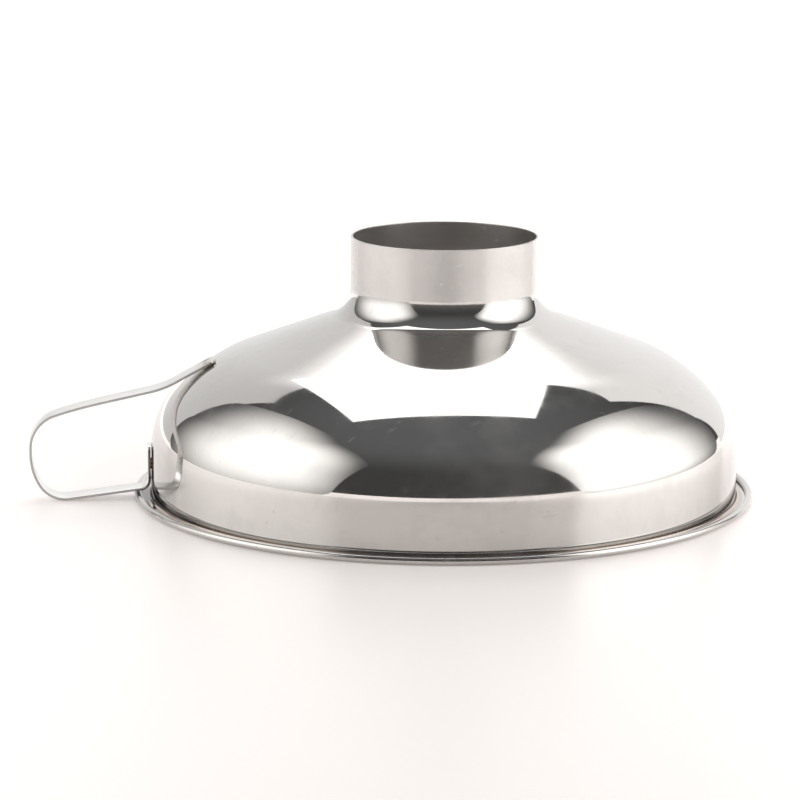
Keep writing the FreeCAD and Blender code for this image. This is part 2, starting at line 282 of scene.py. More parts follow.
class Wire:
    """A value socket, whose operators add Math nodes."""

    def __init__(self, sheet: "NodeSheet", socket: bpy.types.NodeSocket) -> None:
        """Wrap an output socket of a tree."""
        self.sheet = sheet
        self.socket = socket

    def _math(self, operation: str, *values: "Wire | float") -> "Wire":
        """Add one Math node."""
        made = self.sheet.node("ShaderNodeMath", {"operation": operation}, dict(enumerate(values)))
        return Wire(self.sheet, made.outputs[0])

    def __add__(self, other: "Wire | float") -> "Wire":
        """Sum."""
        return self._math("ADD", self, other)

    __radd__ = __add__

    def __sub__(self, other: "Wire | float") -> "Wire":
        """Difference."""
        return self._math("SUBTRACT", self, other)

    def __rsub__(self, other: float) -> "Wire":
        """Reflected difference."""
        return self._math("SUBTRACT", other, self)

    def __mul__(self, other: "Wire | float") -> "Wire":
        """Product."""
        return self._math("MULTIPLY", self, other)

    __rmul__ = __mul__

    def __truediv__(self, other: "Wire | float") -> "Wire":
        """Quotient."""
        return self._math("DIVIDE", self, other)

    def __pow__(self, other: float) -> "Wire":
        """Power."""
        return self._math("POWER", self, other)

    def __abs__(self) -> "Wire":
        """Size without its sign."""
        return self._math("ABSOLUTE", self)

    def least(self, other: "Wire | float") -> "Wire":
        """The smaller of two."""
        return self._math("MINIMUM", self, other)

    def ramp(self, start: float, end: float, low: float = 0.0, high: float = 1.0) -> "Wire":
        """Ease from low to high as the value goes from start to end.

        Args:
            start: the value that gives low.
            end: the value that gives high, which may be the smaller of the two.
            low: the first result.
            high: the last result.

        Returns:
            The eased value, held at low and high outside the range.
        """
        sockets = {"Value": self, "From Min": start, "From Max": end, "To Min": low, "To Max": high}
        made = self.sheet.node("ShaderNodeMapRange", {"interpolation_type": "SMOOTHSTEP"}, sockets)
        return Wire(self.sheet, made.outputs["Result"])


class NodeSheet:
    """The node tree of one material, world or light."""

    def __init__(self, owner: bpy.types.ID) -> None:
        """Empty a tree and hold it.

        Args:
            owner: the material, world or light that has the tree.
        """
        owner.use_nodes = True
        self.tree = owner.node_tree
        self.tree.nodes.clear()

    def node(
        self, kind: str, settings: dict | None = None, sockets: dict | None = None
    ) -> bpy.types.Node:
        """Add one node.

        Args:
            kind: the node's type.
            settings: its own properties, set first.
            sockets: values or links of its inputs, by name or number.

        Returns:
            The node.
        """
        made = self.tree.nodes.new(kind)
        for name, value in (settings or {}).items():
            setattr(made, name, value)
        for name, value in (sockets or {}).items():
            if isinstance(value, Wire):
                self.tree.links.new(value.socket, made.inputs[name])
            else:
                made.inputs[name].default_value = value
        return made

    def out(self, made: bpy.types.Node, name: str | int = 0) -> Wire:
        """One output of a node."""
        return Wire(self, made.outputs[name])

    def position(self) -> tuple[Wire, Wire, Wire]:
        """Find the place on the piece.

        Returns:
            X, Y and Z.
        """
        place = self.out(self.node("ShaderNodeTexCoord"), "Object")
        split = self.node("ShaderNodeSeparateXYZ", None, {0: place})
        return self.out(split, "X"), self.out(split, "Y"), self.out(split, "Z")

    def vector(self, x: Wire | float, y: Wire | float, z: Wire | float) -> Wire:
        """A vector of three values."""
        return self.out(self.node("ShaderNodeCombineXYZ", None, {"X": x, "Y": y, "Z": z}))

    def noise(self, place: Wire, grain: Grain) -> Wire:
        """Noise from 0 to 1 over a place."""
        sockets = {"Vector": place, "Scale": 1 / grain.size, "Detail": grain.detail, "Roughness": grain.rough}
        return self.out(self.node("ShaderNodeTexNoise", None, sockets), "Fac")

    def blend(self, share: Wire, one: Wire | Colour, two: Wire | Colour) -> Wire:
        """Mix two colours.

        Args:
            share: how much of the second colour there is, from 0 to 1.
            one: the first colour.
            two: the second colour.

        Returns:
            The mixed colour.
        """
        made = self.node("ShaderNodeMix", {"data_type": "RGBA"}, {"Factor": share})
        for name, colour in (("A", one), ("B", two)):
            socket = next(s for s in made.inputs if s.name == name and s.type == "RGBA")
            if isinstance(colour, Wire):
                self.tree.links.new(colour.socket, socket)
            else:
                socket.default_value = (*colour, 1.0)
        return Wire(self, next(s for s in made.outputs if s.type == "RGBA"))

    def bump(self, height: Wire, depth: float, normal: Wire | None = None) -> Wire:
        """Bump the surface.

        Args:
            height: the relief, from 0 to 1.
            depth: what a height of 1 stands for, in metres.
            normal: a bumped normal to add to, if any.

        Returns:
            The bumped normal.
        """
        sockets = {"Height": height, "Distance": depth}
        if normal is not None:
            sockets["Normal"] = normal
        return self.out(self.node("ShaderNodeBump", None, sockets), "Normal")

    def metal(self, colour: Wire, rough: Wire, normal: Wire, share: Wire | float = 1.0) -> None:
        """Finish the tree with a metal surface.

        Args:
            colour: the metal's colour.
            rough: its roughness.
            normal: its bumped normal.
            share: how much of the surface is metal. The rest is a dull haze.
        """
        sockets = {"Base Color": colour, "Metallic": share, "Roughness": rough, "Normal": normal}
        self.surface(self.node("ShaderNodeBsdfPrincipled", None, sockets))

    def light(self, colour: Wire, strength: float) -> None:
        """Finish the tree with a surface that gives light of a colour, at a fixed strength."""
        self.surface(self.node("ShaderNodeEmission", None, {"Color": colour, "Strength": strength}))

    def surface(self, shader: bpy.types.Node) -> None:
        """Lead a shader to the tree's output."""
        self.node("ShaderNodeOutputMaterial", None, {"Surface": self.out(shader)})


# ---------------------------------------------------------------- finishes


def distance_to(place: tuple[Wire, Wire, Wire], spot: Point) -> Wire:
    """How far a place is from a spot."""
    gaps = [(axis - at) ** 2 for axis, at in zip(place, spot)]
    return (gaps[0] + gaps[1] + gaps[2]) ** 0.5


@dataclass(frozen=True)
class HeatTint:
    """The straw and blue rings that a spot weld leaves round itself."""

    spots: tuple[Point, ...]
    reach: float = 3.4 * MM
    blue_at: float = 1.9 * MM
    straw: Colour = (0.50, 0.40, 0.27)
    blue: Colour = (0.30, 0.32, 0.40)
    share: float = 0.28

    def over(self, sheet: NodeSheet, place: tuple[Wire, Wire, Wire], colour: Wire) -> Wire:
        """Lay the rings over a colour.

        Args:
            sheet: the tree to add to.
            place: X, Y and Z on the piece.
            colour: the metal's own colour.

        Returns:
            The tinted colour.
        """
        nearest = distance_to(place, self.spots[0])
        for spot in self.spots[1:]:
            nearest = nearest.least(distance_to(place, spot))
        straw = sheet.blend(nearest.ramp(self.reach, self.blue_at, 0, self.share), colour, self.straw)
        return sheet.blend(nearest.ramp(self.blue_at, self.blue_at / 2, 0, self.share), straw, self.blue)


@dataclass(frozen=True)
class MirrorPolish:
    """Stainless sheet, polished to a mirror on the lathe and wiped by hand since.

    The neck is satin, outside more than inside. Residue sits in the groove above the rim, and
    painted shade darkens the sheet round the strap's lower foot, where the skirt mirrors the
    strap's shadowed underside. A haze is the share of the surface that it dulls.
    """

    tint: HeatTint
    rim_radius: float
    lip_height: float
    inside_radius: float
    outside_radius: float
    foot_x: float
    rough: float = 0.03
    steel: Colour = (0.578, 0.564, 0.548)

    rings: Grain = Grain(0.35 * MM, 3, 0.6)
    ring_wander: float = 0.3
    ring_rough: float = 0.015
    ring_depth: float = 0.00012 * MM
    waves: Grain = Grain(26 * MM, 1.5)
    wave_depth: float = 0.012 * MM

    smears: Grain = Grain(19 * MM, 5, 0.62)
    smear_edge: Span = (0.42, 0.68)
    smear_rough: float = 0.05
    smear_share: float = 0.6
    smear_haze: float = 0.10
    smear: Colour = (0.54, 0.525, 0.51)
    specks: Grain = Grain(0.5 * MM)
    speck_edge: Span = (0.70, 0.76)
    speck_rough: float = 0.04

    scuffs: Grain = Grain(1.1 * MM, 4, 0.7)
    scuff_edge: Span = (0.35, 0.65)
    scuff_share: float = 0.4
    rim_wear: float = 1.2 * MM
    lip_wear: float = 0.9 * MM
    lip_scuffs: float = 0.4
    worn_rough: float = 0.16

    satin_from: float = 15.5 * MM
    satin_to: float = 12.0 * MM
    satin_rough: float = 0.09
    satin_haze: float = 0.30
    inside_haze: float = 0.10
    streaks: Grain = Grain(2.6 * MM, 4, 0.6)
    streak_squeeze: float = 0.12
    streak_rough: float = 0.05

    groove_height: Span = (2.2 * MM, 0.7 * MM)
    groove_reach: Span = (2.0 * MM, 3.0 * MM)
    groove_haze: float = 0.24
    residue: Colour = (0.50, 0.43, 0.385)

    scratches: Grain = Grain(1.0)
    scratch_along: Pair = (45, 30)
    scratch_across: Pair = (480, 380)
    scratch_lean: Pair = (0.5, 0.4)
    scratch_edge: Span = (0.66, 0.72)
    scratch_haze: float = 0.14
    wipes: Grain = Grain(13 * MM)
    wipe_edge: Span = (0.48, 0.58)

    # Painted shade: the sheet is darkened round the strap's lower foot, where the skirt mirrors the strap's
    # shadowed underside.
    painted_shade: Colour = (0.075, 0.075, 0.07)
    painted_shade_full: float = 4.2 * MM
    painted_shade_reach: float = 8.5 * MM
    painted_shade_stretch: float = 0.7
    painted_shade_share: float = 0.95

    def material(self) -> bpy.types.Material:
        """Make the material.

        Returns:
            The material.
        """
        made = bpy.data.materials.new("mirror_polish")
        sheet = NodeSheet(made)
        x, y, z = sheet.position()
        place = sheet.vector(x, y, z)
        radius = (x * x + y * y) ** 0.5

        rings = sheet.noise(sheet.vector(radius, radius * self.ring_wander, z), self.rings)
        smears = sheet.noise(place, self.smears).ramp(*self.smear_edge)
        specks = sheet.noise(place, self.specks).ramp(*self.speck_edge)
        handled = (radius.ramp(self.rim_radius - self.rim_wear, self.rim_radius)
                   + z.ramp(self.lip_height - self.lip_wear, self.lip_height) * self.lip_scuffs)
        scuffs = handled * sheet.noise(place, self.scuffs).ramp(*self.scuff_edge)
        satin = z.ramp(self.lip_height - self.satin_from, self.lip_height - self.satin_to)
        streaks = sheet.noise(sheet.vector(x, y, z * self.streak_squeeze), self.streaks) * satin
        groove_from, groove_to = self.groove_reach
        groove = (z.ramp(*self.groove_height)
                  * radius.ramp(self.rim_radius - groove_from, self.rim_radius - groove_to))
        scratches = self.scratched(sheet, x, y, z) * sheet.noise(place, self.wipes).ramp(*self.wipe_edge)

        haze = satin * radius.ramp(self.inside_radius, self.outside_radius, self.inside_haze, self.satin_haze)
        share = (1 - haze - smears * self.smear_haze - groove * self.groove_haze
                 - scratches * self.scratch_haze)
        rough = (self.rough + rings * self.ring_rough + smears * self.smear_rough
                 + specks * self.speck_rough + scuffs * self.worn_rough
                 + satin * self.satin_rough + streaks * self.streak_rough)
        waves = sheet.bump(sheet.noise(place, self.waves), self.wave_depth)
        normal = sheet.bump(rings, self.ring_depth, waves)
        marks = smears * self.smear_share + scuffs * self.scuff_share
        clean = sheet.blend(groove, sheet.blend(marks, self.steel, self.smear), self.residue)
        # Painted shade round the strap's lower foot, where the skirt mirrors the strap's shadowed underside.
        from_foot = ((x - self.foot_x) ** 2 + (y * self.painted_shade_stretch) ** 2 + z * z) ** 0.5
        painted_shade_mask = from_foot.ramp(self.painted_shade_reach, self.painted_shade_full) * self.painted_shade_share
        colour = sheet.blend(painted_shade_mask, clean, self.painted_shade)
        sheet.metal(self.tint.over(sheet, (x, y, z), colour), rough, normal, share)
        return made

    def scratched(self, sheet: NodeSheet, x: Wire, y: Wire, z: Wire) -> Wire:
        """Fine scratches, long in one slanting direction.

        Args:
            sheet: the tree to add to.
            x: X on the piece.
            y: Y on the piece.
            z: Z on the piece.

        Returns:
            1 on a scratch and 0 beside it.
        """
        (along_x, along_y), (across_y, across_z) = self.scratch_along, self.scratch_across
        lean_y, lean_z = self.scratch_lean
        along = x * along_x + y * along_y
        across = (y - x * lean_y) * across_y
        up = (z - y * lean_z) * across_z
        return sheet.noise(sheet.vector(along, across, up), self.scratches).ramp(*self.scratch_edge)


@dataclass(frozen=True)
class RolledStrap:
    """Bright rolled strip: fine lines along it, worn sheared edges, and painted shade on its edges at the
    lower foot, where the gap to the bowl lies in shadow.
    """

    tint: HeatTint
    width: float
    foot_x: float
    foot_top: float
    rough: float = 0.26
    steel: Colour = (0.78, 0.775, 0.76)

    lines: Grain = Grain(0.16 * MM, 4, 0.6)
    line_stretch: float = 0.012
    line_rough: float = 0.10
    line_depth: float = 0.0015 * MM

    edge: Colour = (0.52, 0.515, 0.51)
    edge_span: Span = (0.25 * MM, 0.02 * MM)
    edge_share: float = 0.85
    edge_rough: float = 0.10
    nicks: Grain = Grain(0.6 * MM, 3, 0.7)
    nick_rough: float = 0.1
    nick_depth: float = 0.012 * MM

    smears: Grain = Grain(9 * MM, 4, 0.6)
    smear_edge: Span = (0.48, 0.75)
    smear_share: float = 0.1
    smear_rough: float = 0.06

    # Painted shade: the strap's edges are darkened at the lower foot, where the gap to the bowl lies in
    # shadow.
    painted_shade: Colour = (0.10, 0.095, 0.09)
    painted_shade_beside: Span = (1.4 * MM, 0.5 * MM)
    painted_shade_above: float = 3 * MM
    painted_shade_share: float = 0.9

    def material(self) -> bpy.types.Material:
        """Make the material.

        Returns:
            The material.
        """
        made = bpy.data.materials.new("rolled_strap")
        sheet = NodeSheet(made)
        x, y, z = sheet.position()
        place = sheet.vector(x, y, z)
        half = self.width / 2
        lines = sheet.noise(sheet.vector(x * self.line_stretch, y, z * self.line_stretch), self.lines)
        edges = abs(y).ramp(half - self.edge_span[0], half - self.edge_span[1])
        smears = sheet.noise(place, self.smears).ramp(*self.smear_edge)
        nicks = edges * sheet.noise(place, self.nicks)
        rough = (self.rough + lines * self.line_rough + smears * self.smear_rough
                 + edges * self.edge_rough + nicks * self.nick_rough)
        colour = sheet.blend(edges * self.edge_share + smears * self.smear_share, self.steel, self.edge)
        # Painted shade on the edges of the lower foot, by the shadowed gap to the bowl.
        beside = (x.ramp(self.foot_x - self.painted_shade_beside[0], self.foot_x - self.painted_shade_beside[1])
                  * z.ramp(self.foot_top + self.painted_shade_above, self.foot_top))
        shaded_colour = sheet.blend(beside * edges * self.painted_shade_share, colour, self.painted_shade)
        normal = sheet.bump(nicks, self.nick_depth, sheet.bump(lines, self.line_depth))
        sheet.metal(self.tint.over(sheet, (x, y, z), shaded_colour), rough, normal)
        return made


@dataclass(frozen=True)
class WeldSkin:
    """Metal that melted and froze under the electrode: dull, ringed and a little oxidised."""

    spot: Point
    radius: float
    rough: float = 0.26
    steel: Colour = (0.52, 0.50, 0.48)
    rings: Grain = Grain(0.14 * MM)
    ring_depth: float = 0.008 * MM
    pits: Grain = Grain(0.18 * MM, 4, 0.65)
    pit_rough: float = 0.22
    pit_depth: float = 0.01 * MM
    pit_scorch: float = 0.25
    scorch: Colour = (0.27, 0.24, 0.22)
    scorch_from: float = 0.55
    scorch_share: float = 0.7

    def material(self, name: str) -> bpy.types.Material:
        """Make the material of one weld.

        Args:
            name: the material's name.

        Returns:
            The material.
        """
        made = bpy.data.materials.new(name)
        sheet = NodeSheet(made)
        x, y, z = sheet.position()
        out = distance_to((x, y, z), self.spot)
        rings = sheet.noise(sheet.vector(out, out, out), self.rings)
        pits = sheet.noise(sheet.vector(x, y, z), self.pits)
        scorch = (out.ramp(self.radius * self.scorch_from, self.radius) * self.scorch_share
                  + pits * self.pit_scorch)
        rough = self.rough + pits * self.pit_rough
        normal = sheet.bump(rings, self.ring_depth, sheet.bump(pits, self.pit_depth))
        sheet.metal(sheet.blend(scorch, self.steel, self.scorch), rough, normal)
        return made


# ---------------------------------------------------------------- the funnel


def dress(piece: bpy.types.Object, finish: bpy.types.Material, node: str) -> None:
    """Give a piece its finish, its body and the CAD node that it stands for.

    Args:
        piece: the finished piece.
        finish: its material.
        node: the CAD node that it replaces.
    """
    piece.data.materials.clear()
    piece.data.materials.append(finish)
    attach(piece, BODY)
    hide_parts(node)
    log.info("%s: %d faces, stands for %s", piece.name, len(piece.data.polygons), node)


@dataclass
class Bowl:
    """The drawn sheet: neck, cone, crown, shoulder, skirt and rolled rim."""

    rim_radius: float
    height: float
    gauge: float = 0.5 * MM
    bead: float = 1.9 * MM
    bead_turn: float = 285
    groove: float = 2.35 * MM
    heel: float = 0.8 * MM
    skirt_height: float = 12.2 * MM
    shoulder: float = 19.8 * MM
    shoulder_turn: float = 42
    crown: float = 41.8 * MM
    cone_slope: float = 20
    fillet: float = 7.8 * MM
    neck_radius: float = 23.3 * MM
    neck_length: float = 12.5 * MM
    lip_round: float = 0.12 * MM
    lip_land: float = 0.3 * MM
    sides: int = 256

    def path(self) -> list[Run | Bend]:
        """Lay out the outer skin, from the neck's lip down to the rolled edge.

        Returns:
            The runs and bends, in order.
        """
        cos, sin = math.cos(math.radians(self.cone_slope)), math.sin(math.radians(self.cone_slope))
        crown_turn = 90 - self.cone_slope - self.shoulder_turn
        fall = math.sin(math.radians(self.cone_slope + crown_turn))
        skirt_radius = self.rim_radius - self.bead - self.groove
        crown = self.crown + self.gauge
        shoulder = self.shoulder + self.gauge
        cone = (skirt_radius - self.neck_radius - self.fillet * (1 - sin)
                - crown * (fall - sin) - shoulder * (1 - fall)) / cos
        roll = self.bead / 2 - self.gauge
        return [
            Run(self.lip_land, 1),
            Run(self.neck_length - self.lip_land, 4),
            Bend(self.fillet, 90 - self.cone_slope, Side.LEFT, 24),
            Run(cone, 6),
            Bend(crown, crown_turn, Side.RIGHT, 16),
            Bend(shoulder, self.shoulder_turn, Side.RIGHT, 24),
            Run(self.skirt_height - self.gauge - self.heel, 3),
            Bend(self.heel, 90, Side.LEFT, 8),
            Run(self.groove - self.heel + self.bead / 2, 1),
            Bend(roll, self.bead_turn, Side.LEFT, 28),
        ]

    def build(self) -> bpy.types.Object:
        """Draw the outer skin, spin it round the axis and give it its gauge.

        Returns:
            The bowl.
        """
        lip = Vector((self.neck_radius, 0, self.height))
        bench = Bench.from_point("drawn_bowl", lip)
        bench.walk(lip, -90, self.path())
        bpy.ops.mesh.select_all(action="SELECT")
        bpy.ops.mesh.spin(steps=self.sides, angle=math.tau, center=(0, 0, 0), axis=(0, 0, 1))
        bench.close()
        if not self.faces_out(bench):
            bpy.ops.mesh.select_all(action="SELECT")
            bpy.ops.mesh.flip_normals()
        bench.done()
        bench.modify("SOLIDIFY", thickness=self.gauge, offset=-1, use_even_offset=True)
        bench.round_edges(self.lip_round, 3, sharper_than=60)
        return bench.smooth(40)

    def faces_out(self, bench: Bench) -> bool:
        """Tell which way the sheet's faces point.

        Args:
            bench: the spun sheet, in edit mode.

        Returns:
            Whether the skirt's faces point away from the axis.
        """
        mesh = bmesh.from_edit_mesh(bench.piece.data)
        low, high = self.skirt_height / 3, self.skirt_height
        for face in mesh.faces:
            middle = face.calc_center_median()
            if low < middle.z < high:
                return face.normal.x * middle.x + face.normal.y * middle.y > 0
        raise ValueError("the skirt has no faces")


@dataclass
class Strap:
    """The handle's strap: two feet, two legs and the loop's rounded end."""

    foot_x: float = -73.45 * MM
    foot_top: float = 13.5 * MM
    width: float = 7 * MM
    gauge: float = 0.6 * MM
    edge_round: float = 0.15 * MM
    foot_corner: float = 1.4 * MM
    lower_foot: float = 8.5 * MM
    root: float = 2 * MM
    lower_slope: float = 7.2
    lower_leg: float = 18.023 * MM
    low_corner: float = 7.2 * MM
    low_corner_turn: float = 68
    low_sweep: float = 15.6 * MM
    grip: float = 1.25 * MM
    top_corner: float = 8.4 * MM
    top_corner_slope: float = 18.2
    top_bow: float = 108 * MM
    upper_slope: float = 12.3
    upper_leg: float = 13.366 * MM
    upper_root: float = 23.3 * MM
    seat_slope: float = 28.5
    upper_foot: float = 11.089 * MM

    def path(self) -> list[Run | Bend]:
        """Lay out the strap's middle, from the lower foot's top round to the upper foot's tip.

        Returns:
            The runs and bends, in order.
        """
        half = self.gauge / 2
        return [
            Run(self.lower_foot, 4),
            Bend(self.root + half, 90 - self.lower_slope, Side.RIGHT, 12),
            Run(self.lower_leg, 6),
            Bend(self.low_corner + half, self.low_corner_turn, Side.RIGHT, 18),
            Bend(self.low_sweep + half, 90 + self.lower_slope - self.low_corner_turn, Side.RIGHT, 12),
            Run(self.grip, 1),
            Bend(self.top_corner + half, 90 - self.top_corner_slope, Side.RIGHT, 20),
            Bend(self.top_bow + half, self.top_corner_slope - self.upper_slope, Side.RIGHT, 8),
            Run(self.upper_leg, 5),
            Bend(self.upper_root + half, self.seat_slope - self.upper_slope, Side.LEFT, 8),
            Run(self.upper_foot, 4),
        ]

    def build(self, cutters: list[bpy.types.Object]) -> bpy.types.Object:
        """Draw out the strap's section, round its corners and open it for the welds.

        Args:
            cutters: solids that stand where the welds pass through.

        Returns:
            The strap.
        """
        start = Vector((self.foot_x - self.gauge / 2, 0, self.foot_top))
        bench = Bench("handle_loop", bpy.ops.mesh.primitive_plane_add, size=1)
        bpy.ops.transform.resize(value=(self.gauge, self.width, 1))
        bench.move(start)
        end = bench.walk(start, -90, self.path())
        bench.close()
        half = self.width / 2

        def is_corner(edge: bmesh.types.BMEdge) -> bool:
            """Tell a corner of a foot, where an edge crosses the strap's thickness.

            Args:
                edge: the edge to look at.

            Returns:
                Whether it is a corner.
            """
            middle = (edge.verts[0].co + edge.verts[1].co) / 2
            at_side = all(abs(abs(vert.co.y) - half) < SAME_PLACE for vert in edge.verts)
            flat = Vector((middle.x, 0, middle.z))
            return at_side and min((flat - start).length, (flat - end).length) < SAME_PLACE

        bench.pick_edges(is_corner)
        bpy.ops.mesh.bevel(offset=self.foot_corner, segments=8, affect="EDGES")
        bench.done()
        for cutter in cutters:
            bench.modify("BOOLEAN", operation="DIFFERENCE", object=cutter, solver="EXACT")
            bpy.data.objects.remove(cutter)
        bench.round_edges(self.edge_round, 3, sharper_than=55)
        return bench.smooth(35)


@dataclass
class SpotWelds:
    """The spot welds, two to a foot: a slug with a dimpled top that fills its hole."""

    pitch: float = 3.6 * MM
    radius: float = 1.0 * MM
    rise: float = 0.95 * MM
    dimple: float = 0.1 * MM
    dimple_steps: tuple[float, ...] = (0.5, 0.35, 0.15)
    dimple_ring: float = 0.28
    collar: float = 0.18 * MM
    collar_round: float = 0.06 * MM
    sides: int = 40

    def button(self) -> bpy.types.Object:
        """Make one weld at the origin, with its top at z = 0 and a shallow dimple in it.

        Returns:
            The weld, to be copied.
        """
        foot = Vector((0, 0, -self.rise))
        bench = Bench("weld_button", bpy.ops.mesh.primitive_circle_add, vertices=self.sides,
                      radius=self.radius, fill_type="NGON", location=foot)
        bench.extrude(-foot - Vector((0, 0, self.dimple / 3)))
        bpy.ops.mesh.inset(thickness=self.collar)
        bench.move(Vector((0, 0, self.dimple / 3)))
        for share in self.dimple_steps:
            bpy.ops.mesh.inset(thickness=(self.radius - self.collar) * self.dimple_ring)
            bench.move(Vector((0, 0, -self.dimple * share)))
        bpy.ops.mesh.poke()
        bench.close()
        bench.done()
        bench.round_edges(self.collar_round, 2, sharper_than=60)
        return bench.smooth(50)

    def cutter(self, place: Vector, tilt: float) -> bpy.types.Object:
        """Make a solid that opens the strap where a weld passes through it.

        Args:
            place: the weld's middle.
            tilt: the weld's turn about Y, from +Z towards +X.

        Returns:
            The solid.
        """
        bench = Bench("weld_cutter", bpy.ops.mesh.primitive_cylinder_add, vertices=self.sides,
                      radius=self.radius, depth=4 * self.rise)
        bench.done()
        piece = copy_to(bench.piece, "weld_cutter_placed", place, tilt)
        bpy.data.objects.remove(bench.piece)
        return piece

    def places(self, node: str) -> list[Vector]:
        """Find the two welds of a foot.

        Args:
            node: the CAD node that holds both.

        Returns:
            The middle of each, the one at -Y first.
        """
        low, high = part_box(node)
        middle = (low + high) / 2
        return [Vector((middle.x, side * self.pitch / 2, middle.z)) for side in (-1, 1)]


@dataclass
class Funnel:
    """The whole funnel: bowl, strap and welds, with the bowl's rim and lip where the frame has them."""

    strap: Strap = field(default_factory=Strap)
    welds: SpotWelds = field(default_factory=SpotWelds)
    feet: tuple[str, str] = ("upper_foot_welds", "lower_foot_welds")

    def build(self) -> None:
        """Make every piece and dress it."""
        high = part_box("funnel_body")[1]
        bowl = Bowl(rim_radius=high.x, height=high.z)
        strap = self.strap
        tilts = dict(zip(self.feet, (-strap.seat_slope, -90.0)))
        spots = {foot: self.welds.places(foot) for foot in self.feet}
        tint = HeatTint(tuple(tuple(spot) for foot in self.feet for spot in spots[foot]))

        sheet_finish = MirrorPolish(
            tint, bowl.rim_radius, bowl.height, bowl.neck_radius - bowl.gauge, bowl.neck_radius,
            strap.foot_x)
        dress(bowl.build(), sheet_finish.material(), "funnel_body")

        cutters = [self.welds.cutter(spot, tilts[foot]) for foot in self.feet for spot in spots[foot]]
        strap_finish = RolledStrap(tint, strap.width, strap.foot_x, strap.foot_top)
        dress(strap.build(cutters), strap_finish.material(), "handle_strap")

        button = self.welds.button()
        for foot in self.feet:
            turn = Matrix.Rotation(math.radians(tilts[foot]), 3, "Y")
            for label, spot in zip(("near", "far"), spots[foot]):
                top = spot + turn @ Vector((0, 0, self.welds.rise / 2))
                name = foot.replace("welds", "weld_") + label
                piece = copy_to(button, name, top, tilts[foot])
                finish = WeldSkin(tuple(top), self.welds.radius).material(name + "_skin")
                dress(piece, finish, foot)
        bpy.data.objects.remove(button)


# ---------------------------------------------------------------- the studio


@dataclass(frozen=True)
class Softbox:
    """A large diffuser beside the funnel, brightest in its middle.

    The outline's points go along the studio and upwards, as shares of the box's distance from
    the funnel. The fades are shares of the box's own length and height.
    """

    name: str
    distance: float
    outline: tuple[Pair, ...]
    core: float
    dim: float
    near_fade: float
    far_fade: float
    top_fade: float
    foot_fade: float
    corner: float = 0.09
    colour: Colour = (1.0, 0.985, 0.965)

    def build(self) -> bpy.types.Object:
        """Make the diffuser, upright and side on to the turned studio.

        Returns:
            The diffuser.
        """
        reach = abs(self.distance)
        turn = Matrix.Rotation(-math.radians(STUDIO_TURN), 3, "Z")
        flat = [Vector((self.distance, y * reach, z * reach)) for y, z in self.outline]
        corners = [turn @ corner for corner in flat]
        bench = Bench.from_point(self.name, corners[0])
        for here, there in zip(corners, corners[1:]):
            bench.extrude(there - here)
        bpy.ops.mesh.select_all(action="SELECT")
        bpy.ops.mesh.edge_face_add()
        bpy.ops.mesh.bevel(offset=self.corner, segments=6, affect="VERTICES")
        bench.done()
        bench.piece.data.materials.append(self.material(flat))
        return bench.piece

    def material(self, corners: list[Vector]) -> bpy.types.Material:
        """Make the diffuser's light, which fades towards its edges.

        Args:
            corners: the outline before the studio's turn.

        Returns:
            The material.
        """
        made = bpy.data.materials.new(self.name + "_light")
        sheet = NodeSheet(made)
        x, y, z = sheet.position()
        turn = math.radians(STUDIO_TURN)
        along = x * math.sin(turn) + y * math.cos(turn)
        near, far = min(corner.y for corner in corners), max(corner.y for corner in corners)
        foot, top = min(corner.z for corner in corners), max(corner.z for corner in corners)
        across = (along - near) / (far - near)
        up = (z - foot) / (top - foot)
        glow = (across.ramp(0, self.near_fade) * (1 - across).ramp(0, self.far_fade)
                * (1 - up).ramp(0, self.top_fade) * up.ramp(-self.foot_fade, self.foot_fade))
        edge = tuple(part * self.dim / self.core for part in self.colour)
        sheet.light(sheet.blend(glow, edge, self.colour), self.core)
        return made


@dataclass(frozen=True)
class Backdrop:
    """A curved paper wall behind the funnel, brighter at its right end and high in its middle.

    Its ends are angles in degrees, from +Y towards +X.
    """

    radius: float = 1.6
    height: float = 1.75
    left: float = -41.5
    right: float = 49.0
    light_reach: float = 0.7
    left_light: float = 0.82
    right_light: float = 1.25
    glow: float = 1.35
    glow_height: Span = (1.05, 1.62)
    glow_aside: Span = (0.86, 0.40)
    colour: Colour = (1.0, 0.99, 0.98)

    def build(self) -> bpy.types.Object:
        """Spin an upright line round the funnel's axis.

        Returns:
            The wall.
        """
        start = math.radians(90 - self.left)
        foot = Vector((self.radius * math.cos(start), self.radius * math.sin(start), 0.0))
        bench = Bench.from_point("paper_wall", foot)
        bench.extrude(Vector((0, 0, self.height)))
        bpy.ops.mesh.select_all(action="SELECT")
        sweep = math.radians(self.right - self.left)
        bpy.ops.mesh.spin(steps=48, angle=sweep, center=(0, 0, 0), axis=(0, 0, 1))
        bench.done()
        bench.piece.data.materials.append(self.material())
        return bench.smooth(30)

    def material(self) -> bpy.types.Material:
        """Make the wall's light.

        Returns:
            The material.
        """
        made = bpy.data.materials.new("paper_wall_light")
        sheet = NodeSheet(made)
        x, y, z = sheet.position()
        turn = math.radians(STUDIO_TURN)
        aside = abs(x * math.cos(turn) - y * math.sin(turn))
        glow = z.ramp(*self.glow_height, 0, self.glow) * aside.ramp(*self.glow_aside)
        reach = self.radius * self.light_reach
        light = x.ramp(-reach, reach, self.left_light, self.right_light) + glow
        brightest = self.right_light + self.glow
        sheet.light(sheet.blend(light / brightest, BLACK, self.colour), brightest)
        return made


